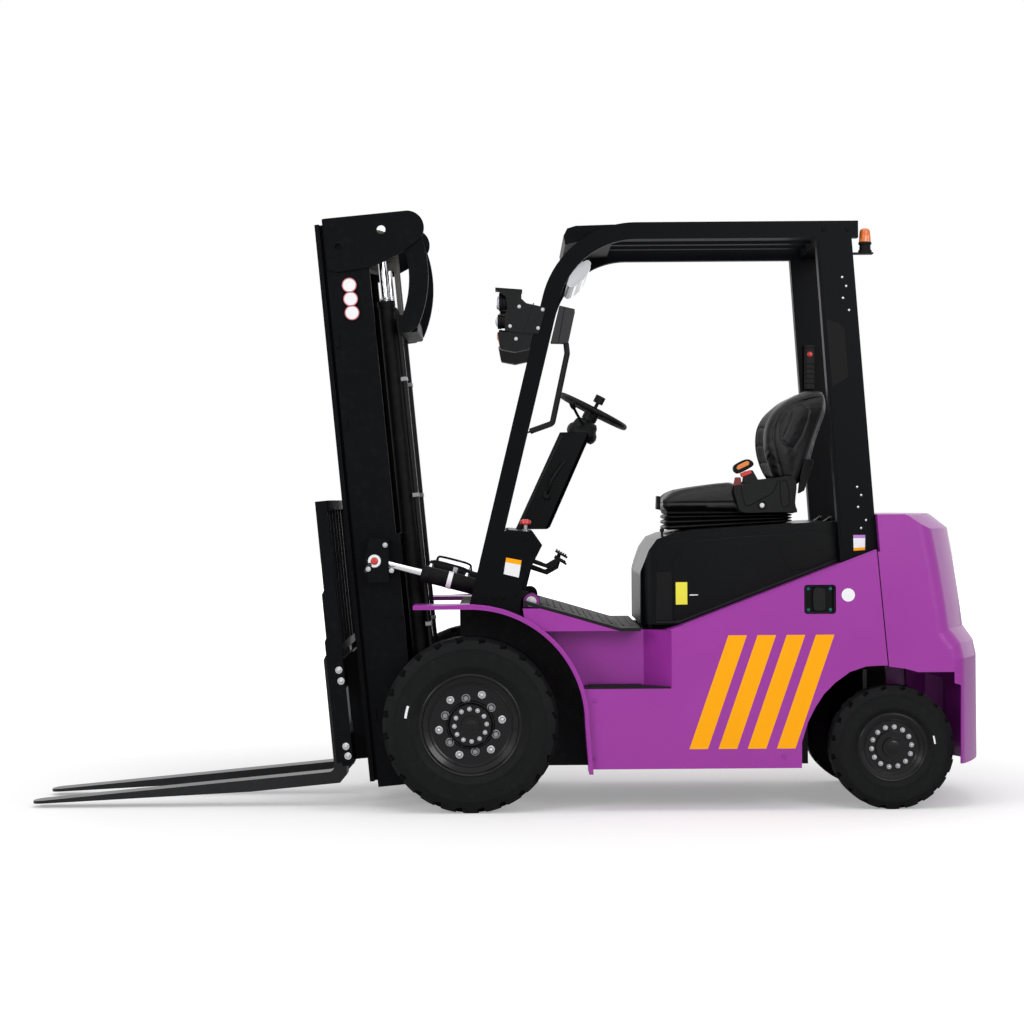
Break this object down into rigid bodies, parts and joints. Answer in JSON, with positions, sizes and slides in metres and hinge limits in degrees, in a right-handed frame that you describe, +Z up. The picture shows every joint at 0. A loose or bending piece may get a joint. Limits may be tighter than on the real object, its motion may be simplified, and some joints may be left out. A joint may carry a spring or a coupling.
{
  "type": "counterbalance forklift truck",
  "caption": "Battery counterbalance forklift with a tilting two-stage mast, fork carriage with backrest, overhead guard, driver's seat, solid tyres and rear steering.",
  "frame": {"origin": "centre of the overall box at floor level, under the truck between fork tips and counterweight", "axes": "-X towards the fork tips, +Y to the driver's right, +Z up; the truck is mirrored about Y apart from its grab handle, beacon and grip"},
  "size_m": [3.6894, 1.15, 2.294],
  "materials": {
    "tyre": "matte",
    "rim": "satin",
    "body_paint": "gloss",
    "guard_black": "satin",
    "mast_black": "satin",
    "axle_black": "matte",
    "rod_chrome": "polished",
    "chain_steel": "satin",
    "cover_plastic": "matte",
    "lamp_plastic": "satin",
    "seat_vinyl": "matte",
    "wheel_plastic": "satin",
    "beacon_amber": "gloss",
    "mirror_face": "gloss",
    "battery_steel": "matte"
  },
  "bodies": {
    "chassis": {"chassis_core": "body_paint", "battery": "battery_steel", "side_panel_left": "body_paint", "side_panel_right": "body_paint", "front_fender_left": "body_paint", "front_fender_right": "body_paint", "step_pads": "cover_plastic", "floor_mat": "cover_plastic", "counterweight": "body_paint", "guard_rails": "guard_black", "guard_pillars": "guard_black", "guard_roof": "guard_black", "front_cowl": "cover_plastic", "leg_covers": "guard_black", "headlamps": "lamp_plastic", "grab_handle": "cover_plastic", "beacon": "beacon_amber", "rear_grip": "cover_plastic", "rear_mirror": "mirror_face", "steering_column": "cover_plastic", "pedals": "cover_plastic", "drive_axle": "axle_black", "steer_axle": "axle_black"},
    "hood": {"hood": "cover_plastic", "seat": "seat_vinyl", "seat_bellows": "cover_plastic"},
    "handwheel": {"steering_wheel": "wheel_plastic"},
    "mast_outer": {"outer_rails": "mast_black", "mast_yoke": "mast_black", "outer_ties": "mast_black", "lift_barrels": "axle_black", "chain_rear_legs": "chain_steel"},
    "mast_inner": {"inner_rails": "mast_black", "inner_crosshead": "mast_black", "lift_rods": "rod_chrome", "chain_pulleys": "chain_steel", "chain_bends": "chain_steel", "chain_front_legs": "chain_steel"},
    "carriage": {"fork_carriage": "mast_black", "load_backrest": "mast_black", "fork_left": "mast_black", "fork_right": "mast_black"},
    "tilt_barrel_left": {"tilt_barrel_left": "axle_black"},
    "tilt_barrel_right": {"tilt_barrel_right": "axle_black"},
    "tilt_rod_left": {"tilt_rod_left": "rod_chrome"},
    "tilt_rod_right": {"tilt_rod_right": "rod_chrome"},
    "front_wheel_left": {"front_tyre_left": "tyre", "front_rim_left": "rim"},
    "front_wheel_right": {"front_tyre_right": "tyre", "front_rim_right": "rim"},
    "knuckle_left": {"knuckle_left": "axle_black"},
    "knuckle_right": {"knuckle_right": "axle_black"},
    "rear_wheel_left": {"rear_tyre_left": "tyre", "rear_rim_left": "rim"},
    "rear_wheel_right": {"rear_tyre_right": "tyre", "rear_rim_right": "rim"}
  },
  "joints": [
    {"name": "mast_tilt", "type": "hinge", "parent": "chassis", "child": "mast_outer", "pos_m": [-0.24827, 0, 0.3], "axis": [0, 1, 0], "range_deg": [0, 13.3]},
    {"name": "mast_lift", "type": "slide", "parent": "mast_outer", "child": "mast_inner", "axis": [-0.0924, 0, 0.9957], "range_m": [0, 1.5], "deforming": ["chain_rear_legs"]},
    {"name": "carriage_lift", "type": "slide", "parent": "mast_inner", "child": "carriage", "axis": [-0.0924, 0, 0.9957], "range_m": [0, 1.5], "deforming": ["chain_front_legs"]},
    {"name": "hood_hinge", "type": "hinge", "parent": "chassis", "child": "hood", "pos_m": [1.27273, 0, 1.1], "axis": [0, 1, 0], "range_deg": [0, 45]},
    {"name": "handwheel_turn", "type": "hinge", "parent": "chassis", "child": "handwheel", "pos_m": [0.34873, 0, 1.53], "axis": [0.4648, 0, 0.8854], "continuous": true},
    {"name": "tilt_barrel_left_swing", "type": "hinge", "parent": "chassis", "child": "tilt_barrel_left", "pos_m": [0.09473, -0.4, 0.793], "axis": [0, 1, 0], "range_deg": [-0.5, 9.99]},
    {"name": "tilt_rod_left_stroke", "type": "slide", "parent": "tilt_barrel_left", "child": "tilt_rod_left", "axis": [0.9666, 0, -0.2563], "range_m": [-0.002, 0.13629]},
    {"name": "front_wheel_left_roll", "type": "hinge", "parent": "chassis", "child": "front_wheel_left", "pos_m": [-0.13827, -0.48, 0.332], "axis": [0, 1, 0], "continuous": true},
    {"name": "knuckle_left_steer", "type": "hinge", "parent": "chassis", "child": "knuckle_left", "pos_m": [1.45673, -0.345, 0.234], "axis": [0, 0, 1], "range_deg": [-75, 75]},
    {"name": "rear_wheel_left_roll", "type": "hinge", "parent": "knuckle_left", "child": "rear_wheel_left", "pos_m": [1.45673, -0.46, 0.234], "axis": [0, 1, 0], "continuous": true},
    {"name": "tilt_barrel_right_swing", "type": "hinge", "parent": "chassis", "child": "tilt_barrel_right", "pos_m": [0.09473, 0.4, 0.793], "axis": [0, 1, 0], "range_deg": [-0.5, 9.99]},
    {"name": "tilt_rod_right_stroke", "type": "slide", "parent": "tilt_barrel_right", "child": "tilt_rod_right", "axis": [0.9666, 0, -0.2563], "range_m": [-0.002, 0.13629]},
    {"name": "front_wheel_right_roll", "type": "hinge", "parent": "chassis", "child": "front_wheel_right", "pos_m": [-0.13827, 0.48, 0.332], "axis": [0, 1, 0], "continuous": true},
    {"name": "knuckle_right_steer", "type": "hinge", "parent": "chassis", "child": "knuckle_right", "pos_m": [1.45673, 0.345, 0.234], "axis": [0, 0, 1], "range_deg": [-75, 75]},
    {"name": "rear_wheel_right_roll", "type": "hinge", "parent": "knuckle_right", "child": "rear_wheel_right", "pos_m": [1.45673, 0.46, 0.234], "axis": [0, 1, 0], "continuous": true}
  ],
  "couplings": [
    {"joint": "carriage_lift", "follows": "mast_lift", "ratio": 1},
    {"joint": "knuckle_right_steer", "follows": "knuckle_left_steer", "ratio": 1},
    {"joint": "tilt_barrel_left_swing", "follows": "mast_tilt", "ratio": 0.7133},
    {"joint": "tilt_rod_left_stroke", "follows": "mast_tilt", "m_per_rad": 0.5785},
    {"joint": "tilt_barrel_right_swing", "follows": "mast_tilt", "ratio": 0.7133},
    {"joint": "tilt_rod_right_stroke", "follows": "mast_tilt", "m_per_rad": 0.5785}
  ]
}
